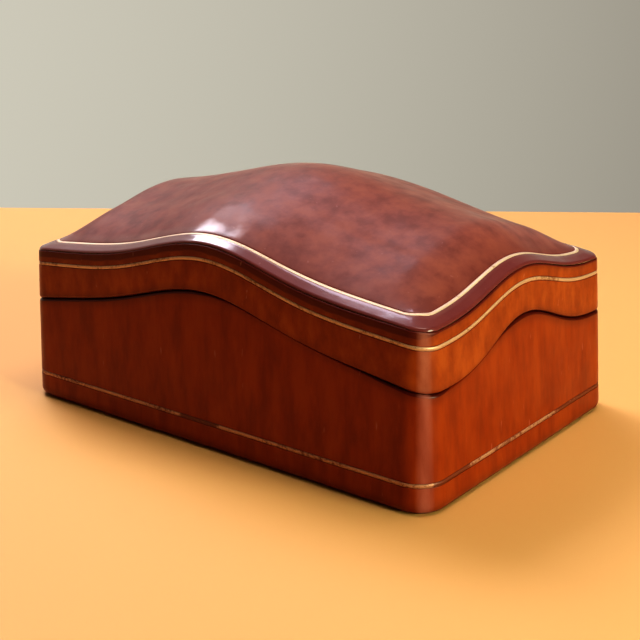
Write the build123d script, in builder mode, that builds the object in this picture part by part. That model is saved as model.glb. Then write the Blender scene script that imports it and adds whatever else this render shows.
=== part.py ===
from build123d import *
import math
import os

# A box for writing paper: shaped boards covered in leather, with an undulating lid that lifts off.
# Millimetres. Origin at the middle of the underside, +Z up, +X along the long side, front at -Y.

# Outside, measured over the leather at the foot of the walls
length = 250.0
width = 162.0
corner_radius = 13.5
wall_taper = 2.8  # degrees that every wall leans inwards
foot_radius = 4.2  # rounding where the walls meet the underside

# The parting line: its height at the corners, and how far it rises in the middle of each side
parting_height = 50.7
parting_rise_long = 23.5
parting_rise_short = 15.6
parting_shoulder = 0.55  # share of the front's rise that begins right at the corners

# The lid's rim: the same wave, higher up
rim_height = 79.8
rim_rise_long = 19.5
rim_rise_short = 11.2
rim_shoulder = 0.36
bead_radius = 1.6  # rounding of the rim
bead_depth = 3.3  # how far below the wave the top leather ends, past the rounding

# The lid's top: a margin that droops towards the rim, and a crown inside it
margin_droop = 1.6
margin_run = 10.0
crown_margin = 8.0  # the crown begins this far in, just inside the gilt line
crown_rise = 10.6
crown_run_ends = 20.0  # distance over which the crown builds up from the short sides
crown_run_sides = 34.5  # and from the long sides

# Thicknesses
leather = 1.2
wall_thickness = 9.3  # base boards at the foot, with upright inner faces
bottom_thickness = 6.0
lip_thickness = 2.5
lid_board_thickness = 5.0
pad_thickness = 1.5
lining_thickness = 0.6

# Fits
lip_stand = 8.0  # how far the inner walls stand above the parting line
lip_clearance = 0.5  # between the inner walls and the lid's lining
parting_gap = 0.3  # between lid and base when closed
turn_under = 12.0  # how far the base leather laps under the foot
tight_radius = 1.0  # smallest rounding of an inside corner

# Gilt lines, tooled in gold leaf
gilt_width = 1.1
gilt_thickness = 0.25
base_gilt_height = 13.2
lid_gilt_drop = 9.6  # below the rim
top_gilt_inset = 7.2  # in from the rim
top_gilt_radius = 9.0  # at its corners

# How finely a wavy sheet is laid out, and how far it reaches past the box
grid_step = 9.0
sheet_margin = 6.0

board_inset = leather + wall_thickness
lip_inset = board_inset + lip_thickness
lid_lining_inset = board_inset - lip_clearance
lid_rail_inset = lid_lining_inset - lining_thickness
rim_inset = rim_height * math.tan(math.radians(wall_taper))
peak_height = rim_height + rim_rise_long + rim_rise_short + crown_rise
block_height = peak_height + sheet_margin
lid_board_drop = leather + lid_board_thickness
lid_lining_drop = lid_board_drop + lining_thickness
floor_height = leather + bottom_thickness


def wave(x, y, height, rise_long, rise_short, shoulder):
    """Height of a line that waves round the four sides, at a point in plan."""
    along = math.cos(math.pi * x / length)
    across = math.cos(math.pi * y / width)
    front = shoulder * along + (1 - shoulder) * along**6
    back = along**2
    towards_back = 0.5 + y / width
    return height + rise_long * (front + (back - front) * towards_back) + rise_short * across**4


def parting_wave(x, y):
    """Height of the parting line."""
    return wave(x, y, parting_height, parting_rise_long, parting_rise_short, parting_shoulder)


def rim_wave(x, y):
    """Height of the lid's rim, before its margin droops."""
    return wave(x, y, rim_height, rim_rise_long, rim_rise_short, rim_shoulder)


def missing(distance_in, run):
    """Share of a swell that is still missing: 1 at its start, falling like a parabola to 0 at its end."""
    return (1 - min(distance_in / run, 1.0)) ** 2


def lid_top(x, y):
    """Height of the lid's top, with its drooping margin and its crown."""
    from_end = length / 2 - rim_inset - abs(x)
    from_side = width / 2 - rim_inset - abs(y)
    droop = missing(from_end, margin_run) + missing(from_side, margin_run)
    crown_ends = 1 - missing(max(from_end - crown_margin, 0.0), crown_run_ends)
    crown_sides = 1 - missing(max(from_side - crown_margin, 0.0), crown_run_sides)
    return rim_wave(x, y) - margin_droop * droop + crown_rise * crown_ends * crown_sides


def spread(side):
    """Evenly spaced places along one side of a sheet, margins included."""
    reach = side / 2 + sheet_margin
    steps = 2 * math.ceil(reach / grid_step)
    return [reach * (2 * step / steps - 1) for step in range(steps + 1)]


def make_sheet(height_at):
    """Smooth sheet through heights laid out on a grid over the whole box."""
    points = [[(x, y, height_at(x, y)) for y in spread(width)] for x in spread(length)]
    return Face.make_surface_from_array_of_points(points, tol=0.01, min_deg=3, max_deg=3)


def raised(sheet, rise):
    """The same sheet at another height."""
    return sheet.moved(Location((0, 0, rise)))


def keep_below(sheet):
    """Keep only what lies below a sheet."""
    extrude(sheet, amount=2 * block_height, dir=(0, 0, -1), mode=Mode.INTERSECT)


def keep_above(sheet):
    """Cut away what lies below a sheet."""
    extrude(sheet, amount=2 * block_height, dir=(0, 0, -1), mode=Mode.SUBTRACT)


def outline(inset, height=0.0, least_radius=tight_radius):
    """Rounded rectangle set in from the foot of the walls, at a height."""
    radius = max(corner_radius - inset, least_radius)
    with BuildSketch(Plane.XY.offset(height)) as plan:
        RectangleRounded(length - 2 * inset, width - 2 * inset, radius)
    return plan.sketch


def sector(side):
    """Part of the plan that belongs to one side, cut off by the mitres at the corners."""
    half_length = length / 2 + sheet_margin
    half_width = width / 2 + sheet_margin
    crossing = half_length - half_width
    with BuildSketch() as plan:
        with BuildLine():
            if side in ("front", "back"):
                sign = -1 if side == "front" else 1
                Polyline(
                    (-half_length, sign * half_width),
                    (half_length, sign * half_width),
                    (crossing, 0),
                    (-crossing, 0),
                    close=True,
                )
            else:
                sign = -1 if side == "left" else 1
                Polyline(
                    (sign * half_length, -half_width),
                    (sign * half_length, half_width),
                    (sign * crossing, 0),
                    close=True,
                )
        make_face()
    return plan.sketch


def write_piece(builder, name):
    """Label a finished piece and write its STEP file."""
    builder.part.label = name
    export_step(builder.part, f"parts/{name}.step")


def write_sides(ring, name_pattern):
    """Cut a ring at the mitres and write its four sides as separate pieces."""
    for side in ("front", "back", "left", "right"):
        with BuildPart() as piece:
            add(ring.part)
            extrude(sector(side), amount=block_height, mode=Mode.INTERSECT)
        write_piece(piece, name_pattern.format(side))


os.makedirs("parts", exist_ok=True)
parting_sheet = make_sheet(parting_wave)
rim_sheet = make_sheet(rim_wave)
top_sheet = make_sheet(lid_top)

lid_parting_sheet = raised(parting_sheet, parting_gap)
crease_sheet = raised(rim_sheet, -bead_depth)

# The closed box over its leather, and the boards under it: the leather lies between the two
with BuildPart() as closed_box:
    extrude(outline(0), amount=block_height, taper=wall_taper)
    keep_below(top_sheet)
    rim_edges = closed_box.edges().filter_by(lambda edge: edge.bounding_box().min.Z > parting_height)
    fillet(rim_edges, bead_radius)
    fillet(closed_box.edges().group_by(Axis.Z)[0], foot_radius)

with BuildPart() as boards:
    extrude(outline(leather, leather), amount=block_height, taper=wall_taper)
    keep_below(raised(top_sheet, -leather))
    core_edges = boards.edges().filter_by(lambda edge: edge.bounding_box().min.Z > parting_height)
    fillet(core_edges, bead_radius - leather)
    fillet(boards.edges().group_by(Axis.Z)[0], foot_radius - leather)

# The boards parted into base and lid, still solid inside
with BuildPart() as base_core:
    add(boards.part)
    keep_below(raised(parting_sheet, -leather))

with BuildPart() as lid_core:
    add(boards.part)
    keep_above(raised(lid_parting_sheet, leather))

# Base: four mitred boards round a bottom board
with BuildPart() as base_boards:
    add(base_core.part)
    extrude(outline(board_inset), amount=block_height, mode=Mode.SUBTRACT)
write_sides(base_boards, "base_{}_board")

with BuildPart() as base_bottom_board:
    extrude(outline(board_inset, leather), amount=bottom_thickness)
write_piece(base_bottom_board, "base_bottom_board")

# Inner walls, glued inside the boards and standing proud of the parting line to locate the lid
with BuildPart() as base_lip:
    extrude(outline(board_inset, floor_height), amount=block_height)
    extrude(outline(lip_inset, floor_height), amount=block_height, mode=Mode.SUBTRACT)
    keep_below(raised(parting_sheet, lip_stand))
write_sides(base_lip, "base_{}_inner_wall")

with BuildPart() as base_floor_pad:
    extrude(outline(lip_inset, floor_height), amount=pad_thickness)
write_piece(base_floor_pad, "base_floor_pad")

# Base leather: up the walls, over the top edge of the boards, and lapped under the foot
with BuildPart() as base_leather:
    add(closed_box.part)
    keep_below(parting_sheet)
    add(base_core.part, mode=Mode.SUBTRACT)
    extrude(outline(board_inset, leather), amount=block_height, mode=Mode.SUBTRACT)
    extrude(outline(turn_under), amount=leather, mode=Mode.SUBTRACT)
write_piece(base_leather, "base_leather")

with BuildPart() as base_underside_panel:
    extrude(outline(turn_under), amount=leather)
write_piece(base_underside_panel, "base_underside_panel")

# Lid: a shaped top board on four mitred rails
with BuildPart() as lid_top_board:
    add(lid_core.part)
    keep_above(raised(top_sheet, -lid_board_drop))
write_piece(lid_top_board, "lid_top_board")

with BuildPart() as lid_rails:
    add(lid_core.part)
    keep_below(raised(top_sheet, -lid_board_drop))
    extrude(outline(lid_rail_inset), amount=block_height, mode=Mode.SUBTRACT)
write_sides(lid_rails, "lid_{}_rail")

# Lid leather: burgundy over the top and the bead, cognac on the sides and under the rails
with BuildPart() as lid_top_leather:
    add(closed_box.part)
    keep_above(crease_sheet)
    add(lid_core.part, mode=Mode.SUBTRACT)
write_piece(lid_top_leather, "lid_top_leather")

with BuildPart() as lid_side_leather:
    add(closed_box.part)
    keep_above(lid_parting_sheet)
    keep_below(crease_sheet)
    add(lid_core.part, mode=Mode.SUBTRACT)
    extrude(outline(lid_rail_inset), amount=block_height, mode=Mode.SUBTRACT)
write_piece(lid_side_leather, "lid_side_leather")

# Lid linings: one on the ceiling and one inside each rail
with BuildPart() as lid_ceiling_lining:
    extrude(outline(lid_rail_inset), amount=block_height)
    keep_below(raised(top_sheet, -lid_board_drop))
    keep_above(raised(top_sheet, -lid_lining_drop))
write_piece(lid_ceiling_lining, "lid_ceiling_lining")

with BuildPart() as lid_linings:
    extrude(outline(lid_rail_inset), amount=block_height)
    extrude(outline(lid_lining_inset), amount=block_height, mode=Mode.SUBTRACT)
    keep_below(raised(top_sheet, -lid_lining_drop))
    keep_above(lid_parting_sheet)
write_sides(lid_linings, "lid_{}_lining")

# Gilt lines: round the foot of the base, round the lid's side and inside the rim of its top
with BuildPart() as base_gilt_line:
    extrude(outline(-gilt_thickness), amount=block_height, taper=wall_taper)
    extrude(outline(0), amount=block_height, taper=wall_taper, mode=Mode.SUBTRACT)
    gilt_foot = base_gilt_height - gilt_width / 2
    extrude(outline(-sheet_margin, gilt_foot), amount=gilt_width, mode=Mode.INTERSECT)
write_piece(base_gilt_line, "base_gilt_line")

with BuildPart() as lid_side_gilt_line:
    extrude(outline(-gilt_thickness), amount=block_height, taper=wall_taper)
    extrude(outline(0), amount=block_height, taper=wall_taper, mode=Mode.SUBTRACT)
    keep_below(raised(rim_sheet, gilt_width / 2 - lid_gilt_drop))
    keep_above(raised(rim_sheet, -gilt_width / 2 - lid_gilt_drop))
write_piece(lid_side_gilt_line, "lid_side_gilt_line")

with BuildPart() as lid_top_gilt_line:
    gilt_middle = rim_inset + top_gilt_inset
    gilt_half = gilt_width / 2
    gilt_outside = outline(gilt_middle - gilt_half, 0, top_gilt_radius + gilt_half)
    gilt_inside = outline(gilt_middle + gilt_half, 0, top_gilt_radius - gilt_half)
    extrude(gilt_outside, amount=block_height)
    extrude(gilt_inside, amount=block_height, mode=Mode.SUBTRACT)
    keep_below(raised(top_sheet, gilt_thickness))
    keep_above(top_sheet)
write_piece(lid_top_gilt_line, "lid_top_gilt_line")
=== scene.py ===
"""Dresses a stationery box: polished calf over shaped boards, gold tooling, suede linings, a baize underside.

Sizes are in millimetres until a mesh is made. A section is a run of (inset, height) pairs across a wall. The
inset is measured in from the foot of the walls. A section is laid through turns, which are its corners, and
carried round the box from stop to stop.
"""
import logging
import math
from abc import ABC, abstractmethod
from dataclasses import dataclass, field, fields
from enum import Enum
from typing import Callable, ClassVar

import bmesh
import bpy
from mathutils import Matrix, Vector


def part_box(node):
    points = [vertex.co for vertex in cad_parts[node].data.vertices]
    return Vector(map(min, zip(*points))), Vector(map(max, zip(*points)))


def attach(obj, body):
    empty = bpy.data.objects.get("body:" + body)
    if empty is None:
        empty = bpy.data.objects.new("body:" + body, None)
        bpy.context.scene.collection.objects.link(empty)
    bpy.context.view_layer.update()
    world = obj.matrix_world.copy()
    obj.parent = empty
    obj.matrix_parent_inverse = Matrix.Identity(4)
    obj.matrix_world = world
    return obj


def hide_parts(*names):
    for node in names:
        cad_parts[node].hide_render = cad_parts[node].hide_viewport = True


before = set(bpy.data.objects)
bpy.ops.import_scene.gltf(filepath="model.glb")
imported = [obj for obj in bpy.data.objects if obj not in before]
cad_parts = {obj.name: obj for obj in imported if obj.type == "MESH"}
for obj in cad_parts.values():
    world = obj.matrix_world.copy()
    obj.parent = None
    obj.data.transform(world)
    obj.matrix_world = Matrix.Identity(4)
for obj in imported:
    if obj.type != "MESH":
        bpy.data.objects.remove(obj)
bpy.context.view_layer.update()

MM = 0.001
FAR_MM = 99.0  # further from an edge or a tooled line than any finish looks

Pair = tuple[float, float]
Place = tuple[float, float, float]
log = logging.getLogger("stationery_box")


class Slot(Enum):
    """Names of the record's material slots; nothing in the script reads them."""

    BURGUNDY = "burgundy_leather"
    COGNAC = "cognac_leather"
    GILT = "gilt"
    SUEDE = "suede_lining"


class Body(Enum):
    """The two bodies that part when the lid is lifted."""

    BASE = "base"
    LID = "lid"


# ---------------------------------------------------------------------------------------------- the form


@dataclass(frozen=True)
class BoxForm:
    """Outside shape of the box over its leather, in millimetres.

    The parting line and the lid's rim wave in step, a little fuller at the back than at the front. Inside the
    rim lies a margin that droops towards it, and inside the margin the top swells into a crown.
    """

    length: float = 250.0
    width: float = 162.0
    corner_radius: float = 13.5
    wall_taper: float = math.radians(2.8)
    foot_radius: float = 4.2
    parting_height: float = 50.7
    parting_rise_long: float = 23.5
    parting_rise_short: float = 15.6
    parting_shoulder: float = 0.55
    parting_gap: float = 0.3
    rim_height: float = 79.8
    rim_rise_long: float = 19.5
    rim_rise_short: float = 11.2
    rim_shoulder: float = 0.36
    margin_lift: float = 0.8
    margin_droop: float = 3.0
    margin_run: float = 10.0
    crown_margin: float = 8.0
    crown_rise: float = 9.9
    crown_run_ends: float = 21.0
    crown_run_sides: float = 31.0
    wall_slow_waver: float = 0.10
    wall_quick_waver: float = 0.035
    top_slow_waver: float = 0.16
    top_quick_waver: float = 0.05

    def wave(self, x: float, y: float, rise_long: float, rise_short: float, shoulder: float) -> float:
        """Give how far a line that waves round the four sides has risen above its lowest point.

        Args:
            x: Place along the box.
            y: Place across it.
            rise_long: Rise in the middle of the long sides.
            rise_short: Rise in the middle of the short sides.
            shoulder: Share of the front's rise that begins right at the corners.

        Returns:
            The rise above the line's height at the corners.
        """
        along = math.cos(math.pi * x / self.length)
        across = math.cos(math.pi * y / self.width)
        front = shoulder * along + (1 - shoulder) * along**6
        back = along**2
        towards_back = 0.5 + y / self.width
        return rise_long * (front + (back - front) * towards_back) + rise_short * across**4

    def missing(self, distance_in: float, run: float) -> float:
        """Give the share of a swell still missing at a distance in: 1 at its start, 0 past its run."""
        return (1 - min(max(distance_in, 0.0) / run, 1.0)) ** 2

    def parting(self, x: float, y: float) -> float:
        """Give the height of the parting line above a point in plan."""
        rise = self.wave(x, y, self.parting_rise_long, self.parting_rise_short, self.parting_shoulder)
        return self.parting_height + rise

    def rim(self, x: float, y: float) -> float:
        """Give the height of the lid's rim above a point in plan, before its margin droops."""
        return self.rim_height + self.wave(x, y, self.rim_rise_long, self.rim_rise_short, self.rim_shoulder)

    def top(self, x: float, y: float) -> float:
        """Give the height of the lid's top above a point in plan: a drooping margin and a crown.

        Args:
            x: Place along the box.
            y: Place across it.

        Returns:
            The height.
        """
        rim_inset = self.wall_inset(self.rim_height)
        from_end = self.length / 2 - rim_inset - abs(x)
        from_side = self.width / 2 - rim_inset - abs(y)
        droop = self.missing(from_end, self.margin_run) + self.missing(from_side, self.margin_run)
        crown_ends = 1 - self.missing(from_end - self.crown_margin, self.crown_run_ends)
        crown_sides = 1 - self.missing(from_side - self.crown_margin, self.crown_run_sides)
        lift = self.margin_lift + self.crown_rise * crown_ends * crown_sides
        return self.rim(x, y) + lift - self.margin_droop * droop

    def wall_inset(self, height: float) -> float:
        """Give how far a wall has leaned in at a height."""
        return height * math.tan(self.wall_taper)

    def wall_waver(self, x: float, y: float, height: float) -> float:
        """Give the small unevenness of a hand-covered wall, outwards. No two of its waves keep step.

        Args:
            x: Place along the box.
            y: Place across it.
            height: Height on the wall.

        Returns:
            How far the wall stands out there.
        """
        slow = math.sin(x / 19.0 + height / 31.0) * math.cos(y / 23.0 - height / 17.0)
        quick = math.sin((x - y) / 8.3 + height / 6.1) * math.sin((x + y) / 11.9 + 1.7)
        return self.wall_slow_waver * slow + self.wall_quick_waver * quick

    def top_waver(self, x: float, y: float) -> float:
        """Give the small unevenness of the hand-covered top, upwards. No two of its waves keep step.

        Args:
            x: Place along the box.
            y: Place across it.

        Returns:
            How far the top stands up there.
        """
        slow = math.sin(x / 17.0 + 0.6) * math.cos(y / 14.0 + x / 41.0)
        quick = math.sin((x + y) / 7.7) * math.cos((x - 2 * y) / 12.1 + 0.9)
        return self.top_slow_waver * slow + self.top_quick_waver * quick


@dataclass(frozen=True)
class Stop:
    """One stop on the walk round the box: the middle of its bend in plan, and the way outwards from there."""

    middle: Pair
    out: Pair
    reach: float

    def plan(self, inset: float) -> Pair:
        """Give the point in plan at an inset from the foot of the walls."""
        ahead = self.reach - inset
        return self.middle[0] + self.out[0] * ahead, self.middle[1] + self.out[1] * ahead


@dataclass(frozen=True)
class DrawnStop(Stop):
    """A stop whose bend widens on the way in, from the rim to a line whose corners are rounder."""

    drawn_middle: Pair
    drawn_reach: float
    start: float
    end: float

    def plan(self, inset: float) -> Pair:
        """Give the point in plan at an inset from the foot of the walls.

        Args:
            inset: The inset.

        Returns:
            The point.
        """
        share = min(max((inset - self.start) / (self.end - self.start), 0.0), 1.0)
        ahead = self.reach + (self.drawn_reach - self.reach) * share - inset
        x = self.middle[0] + (self.drawn_middle[0] - self.middle[0]) * share
        y = self.middle[1] + (self.drawn_middle[1] - self.middle[1]) * share
        return x + self.out[0] * ahead, y + self.out[1] * ahead


@dataclass(frozen=True)
class RoundLine:
    """A line round the box at one inset, whose corners are rounder than the box's own."""

    inset: float
    radius: float

    def bends(self, form: BoxForm) -> Pair:
        """Give how far the middles of its bends lie from the middle of the box, in x and y."""
        taken = self.inset + self.radius
        return form.length / 2 - taken, form.width / 2 - taken

    def inside(self, form: BoxForm, x: float, y: float) -> float:
        """Give how far inside the line a point in plan lies.

        Args:
            form: The box's shape.
            x: Place along the box.
            y: Place across it.

        Returns:
            The distance, below 0 outside the line.
        """
        bend_x, bend_y = self.bends(form)
        over_x, over_y = abs(x) - bend_x, abs(y) - bend_y
        beyond = math.hypot(max(over_x, 0.0), max(over_y, 0.0))
        return self.radius - beyond - min(max(over_x, over_y), 0.0)

    def draw(self, form: BoxForm, stop: Stop, start: float, end: float) -> DrawnStop:
        """Draw a stop in so that it meets the line.

        Args:
            form: The box's shape.
            stop: The stop.
            start: The inset at which its bend begins to widen.
            end: The inset at which it runs beside the line.

        Returns:
            The drawn stop.
        """
        bend_x, bend_y = self.bends(form)
        far_x, far_y = form.length / 2 - stop.reach, form.width / 2 - stop.reach
        middle = (stop.middle[0] * bend_x / far_x, stop.middle[1] * bend_y / far_y)
        return DrawnStop(stop.middle, stop.out, stop.reach, middle, self.radius + self.inset, start, end)


@dataclass(frozen=True)
class Walk:
    """The walk round the box, from the left end of the front and past the right side, in even steps."""

    form: BoxForm
    straight_step: float = 1.6
    corner_half_steps: int = 7

    def straight_counts(self) -> tuple[int, int]:
        """Count the steps of the straight runs.

        Returns:
            The steps along a long side and along a short one.
        """
        long_run = self.form.length - 2 * self.form.corner_radius
        short_run = self.form.width - 2 * self.form.corner_radius
        return math.ceil(long_run / self.straight_step), math.ceil(short_run / self.straight_step)

    def bends(self) -> Pair:
        """Give how far the middles of the corner bends lie from the middle of the box, in x and y."""
        return self.form.length / 2 - self.form.corner_radius, self.form.width / 2 - self.form.corner_radius

    def stops(self) -> list[Stop]:
        """Walk round the box.

        Returns:
            Every stop of the walk.
        """
        far_x, far_y = self.bends()
        long_steps, short_steps = self.straight_counts()
        ends = [(-far_x, -far_y), (far_x, -far_y), (far_x, far_y), (-far_x, far_y)]
        turns = 2 * self.corner_half_steps
        stops = []
        for side in range(4):
            start, end = ends[side], ends[(side + 1) % 4]
            facing = math.pi / 2 * (side - 1)
            steps = long_steps if side % 2 == 0 else short_steps
            for step in range(steps):
                share = step / steps
                middle = (start[0] + (end[0] - start[0]) * share, start[1] + (end[1] - start[1]) * share)
                stops.append(Stop(middle, (math.cos(facing), math.sin(facing)), self.form.corner_radius))
            for turn in range(turns):
                angle = facing + math.pi / 2 * turn / turns
                stops.append(Stop(end, (math.cos(angle), math.sin(angle)), self.form.corner_radius))
        return stops


# -------------------------------------------------------------------------------------------- sections


class Cut(Enum):
    """Whether a section ends open, to be filled by caps, or comes back to its first point."""

    OPEN = "open"
    CLOSED = "closed"


MOST_OF_SIDE = 0.48  # share of a section's side that one rounding may take
SUPPORT_MM = 0.35  # how near to a rounding the next point lies, which keeps the rounding crisp
MOST_SUPPORT = 0.2  # the same as a share of a short run


@dataclass(frozen=True)
class Turn:
    """A corner of a section, with its rounding and the points laid on the way to the next corner."""

    inset: float
    height: float
    radius: float = 0.0
    steps: int = 3
    run: int = 0


def round_turn(before: Vector, turn: Vector, after: Vector, radius: float, steps: int) -> list[Vector]:
    """Replace a section's corner with an arc.

    Args:
        before: The corner before this one.
        turn: The corner itself.
        after: The corner after this one.
        radius: The arc's radius, lessened where the sides are too short for it.
        steps: How many pieces the arc has.

    Returns:
        The points of the arc, its two ends included.
    """
    back, ahead = (before - turn), (after - turn)
    half_angle = back.angle(ahead) / 2
    shorter = min(back.length, ahead.length)
    setback = min(radius / math.tan(half_angle), MOST_OF_SIDE * shorter)
    back.normalize()
    ahead.normalize()
    true_radius = setback * math.tan(half_angle)
    centre = turn + (back + ahead).normalized() * (true_radius / math.sin(half_angle))
    first = (turn + back * setback - centre).normalized()
    last = (turn + ahead * setback - centre).normalized()
    return [centre + first.slerp(last, step / steps) * true_radius for step in range(steps + 1)]


def lay_section(turns: list[Turn], cut: Cut) -> list[Pair]:
    """Lay the points of a section through its corners.

    Args:
        turns: The corners in order.
        cut: Whether the section is open or closed.

    Returns:
        The section's points, as many for any place on the box.
    """
    spots = [Vector((turn.inset, turn.height)) for turn in turns]
    arcs: list[list[Vector]] = []
    for place, turn in enumerate(turns):
        at_end = cut is Cut.OPEN and place in (0, len(turns) - 1)
        if at_end or turn.radius == 0:
            arcs.append([spots[place]])
        else:
            after = spots[(place + 1) % len(spots)]
            arcs.append(round_turn(spots[place - 1], spots[place], after, turn.radius, turn.steps))
    points: list[Vector] = []
    for place, turn in enumerate(turns):
        points.extend(arcs[place])
        if turn.run:
            start, end = arcs[place][-1], arcs[(place + 1) % len(arcs)][0]
            near = min(SUPPORT_MM / (end - start).length, MOST_SUPPORT)
            for step in range(turn.run):
                share = near + (1 - 2 * near) * step / (turn.run - 1)
                points.append(start.lerp(end, share))
    return [(point.x, point.y) for point in points]


# ---------------------------------------------------------------------------------------------- meshes


@dataclass(frozen=True)
class Mark:
    """What a finish reads at a point: its distances from the nearest edge and from the middle of the nearest
    tooled line, and how strong a painted highlight down a corner is there, from 0 to 1.
    """

    edge_mm: float = FAR_MM
    tool_mm: float = FAR_MM
    # strength of the painted highlight down the corners
    rubbed: float = 0.0


@dataclass
class Draft:
    """A mesh in the making: its points in millimetres, its faces and the marks that its finish reads."""

    name: str
    points: list[Place] = field(default_factory=list)
    faces: list[tuple[int, ...]] = field(default_factory=list)
    marks: list[Mark] = field(default_factory=list)

    def add_point(self, place: Place, mark: Mark) -> int:
        """Add a point.

        Args:
            place: Where it lies.
            mark: What its finish reads there.

        Returns:
            The point's number.
        """
        self.points.append(place)
        self.marks.append(mark)
        return len(self.points) - 1

    def join_rings(self, first: list[int], second: list[int]) -> None:
        """Lay four-sided faces between two closed rings of as many points.

        Args:
            first: The point numbers of one ring.
            second: The point numbers of the other.
        """
        count = len(first)
        for place in range(count):
            following = (place + 1) % count
            self.faces.append((first[place], first[following], second[following], second[place]))

    def make(self) -> bpy.types.Object:
        """Make the object, smooth-shaded, with its faces turned outwards.

        Returns:
            The object, in metres.
        """
        mesh = bpy.data.meshes.new(self.name)
        mesh.from_pydata([(x * MM, y * MM, z * MM) for x, y, z in self.points], [], self.faces)
        for mark_field in fields(Mark):
            values = [getattr(mark, mark_field.name) for mark in self.marks]
            mesh.attributes.new(mark_field.name, "FLOAT", "POINT").data.foreach_set("value", values)
        shaper = bmesh.new()
        shaper.from_mesh(mesh)
        bmesh.ops.recalc_face_normals(shaper, faces=shaper.faces)
        shaper.to_mesh(mesh)
        shaper.free()
        mesh.shade_smooth()
        made = bpy.data.objects.new(self.name, mesh)
        bpy.context.scene.collection.objects.link(made)
        return made


SectionMaker = Callable[[Stop], list[Pair]]
Marker = Callable[[Stop, Pair], Mark]


def carry_round(
    draft: Draft,
    form: BoxForm,
    stops: list[Stop],
    section: SectionMaker,
    marker: Marker,
    cut: Cut = Cut.CLOSED,
    on_top: bool = False,
) -> list[list[int]]:
    """Carry a section round the box and lay faces between its rings.

    Args:
        draft: The mesh that takes the points and faces.
        form: The box's shape, for the unevenness of its covering.
        stops: The stops of the walk.
        section: Gives the section's points at a stop.
        marker: Gives a point's marks.
        cut: Whether the section is open or closed.
        on_top: Whether the points also follow the unevenness of the top.

    Returns:
        The rings of point numbers, one for each point of the section.
    """
    columns = []
    for stop in stops:
        column = []
        for inset, height in section(stop):
            x, y = stop.plan(inset)
            x, y = stop.plan(inset - form.wall_waver(x, y, height))
            lift = form.top_waver(x, y) if on_top else 0.0
            column.append(draft.add_point((x, y, height + lift), marker(stop, (inset, height))))
        columns.append(column)
    rings = [list(ring) for ring in zip(*columns)]
    following = rings[1:] + rings[:1] if cut is Cut.CLOSED else rings[1:]
    for first, second in zip(rings, following):
        draft.join_rings(first, second)
    return rings


@dataclass(frozen=True)
class Cap:
    """The middle of the top, laid as a grid whose corners are bent to meet a rounded ring."""

    form: BoxForm
    walk: Walk
    bends: Pair
    radius: float

    def lines(self, far: float, steps: int) -> list[float]:
        """Give where the grid's lines lie in one direction.

        Args:
            far: Distance of the corner bends' middles from the middle of the box.
            steps: Steps between two bends.

        Returns:
            The lines' places, from the low end to the high one.
        """
        half = self.walk.corner_half_steps
        corner = [far + self.radius * step / half for step in range(1, half + 1)]
        middle = [-far + 2 * far * step / steps for step in range(steps + 1)]
        return [-place for place in reversed(corner)] + middle + corner

    def bend(self, x: float, y: float) -> Pair:
        """Move a point of the square corner onto the rounded one.

        Args:
            x: Place along the box.
            y: Place across it.

        Returns:
            The point in plan, moved where it lies in a corner.
        """
        far_x, far_y = self.bends
        over_x, over_y = abs(x) - far_x, abs(y) - far_y
        if over_x <= 0 or over_y <= 0:
            return x, y
        reach = max(over_x, over_y)
        angle = math.pi / 4 * min(over_x, over_y) / reach
        if over_y > over_x:
            angle = math.pi / 2 - angle
        bent_x, bent_y = far_x + reach * math.cos(angle), far_y + reach * math.sin(angle)
        return math.copysign(bent_x, x), math.copysign(bent_y, y)

    def lay(self, draft: Draft, ring: list[int], drop: float, mark: Callable[[float, float], Mark]) -> None:
        """Fill a ring with the grid.

        Args:
            draft: The mesh that takes the points and faces.
            ring: The ring's point numbers, in the order of the walk.
            drop: How far the grid lies below the top's surface.
            mark: Gives the marks of a point in plan.
        """
        far_x, far_y = self.bends
        long_steps, short_steps = self.walk.straight_counts()
        columns, rows = self.lines(far_x, long_steps), self.lines(far_y, short_steps)
        last_column, last_row = len(columns) - 1, len(rows) - 1
        half = self.walk.corner_half_steps
        border = [(column, 0) for column in range(last_column)]
        border += [(last_column, row) for row in range(last_row)]
        border += [(column, last_row) for column in range(last_column, 0, -1)]
        border += [(0, row) for row in range(last_row, 0, -1)]
        border = border[half:] + border[:half]
        numbers = dict(zip(border, ring))
        for column, x in enumerate(columns):
            for row, y in enumerate(rows):
                if (column, row) not in numbers:
                    bent_x, bent_y = self.bend(x, y)
                    height = self.form.top(bent_x, bent_y) + self.form.top_waver(bent_x, bent_y) - drop
                    numbers[column, row] = draft.add_point((bent_x, bent_y, height), mark(bent_x, bent_y))
        for column in range(last_column):
            for row in range(last_row):
                corners = ((column, row), (column + 1, row), (column + 1, row + 1), (column, row + 1))
                draft.faces.append(tuple(numbers[corner] for corner in corners))


# -------------------------------------------------------------------------------------------- finishes


# Sockets of a Mix node: its share, then its two values and its result, for numbers and for colours.
SHARE = 0
NUMBER_A, NUMBER_B, NUMBER_OUT = 2, 3, 0
COLOUR_A, COLOUR_B, COLOUR_OUT = 6, 7, 2

# The middle part of what a noise pattern gives; hardly any of it lies outside.
NOISE_LOW, NOISE_HIGH = 0.3, 0.7


def paint(hex_code: str) -> tuple[float, float, float, float]:
    """Turn an sRGB hex colour into the linear colour that a shader takes.

    Args:
        hex_code: Six hex digits.

    Returns:
        Red, green, blue and full cover.
    """
    shares = [int(hex_code[place : place + 2], 16) / 255 for place in (0, 2, 4)]
    linear = [share / 12.92 if share <= 0.04045 else ((share + 0.055) / 1.055) ** 2.4 for share in shares]
    return linear[0], linear[1], linear[2], 1.0


def per_mm(size_mm: float) -> float:
    """Give the scale at which a pattern over metres repeats about once in a size in millimetres."""
    return 1.0 / (size_mm * MM)


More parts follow.
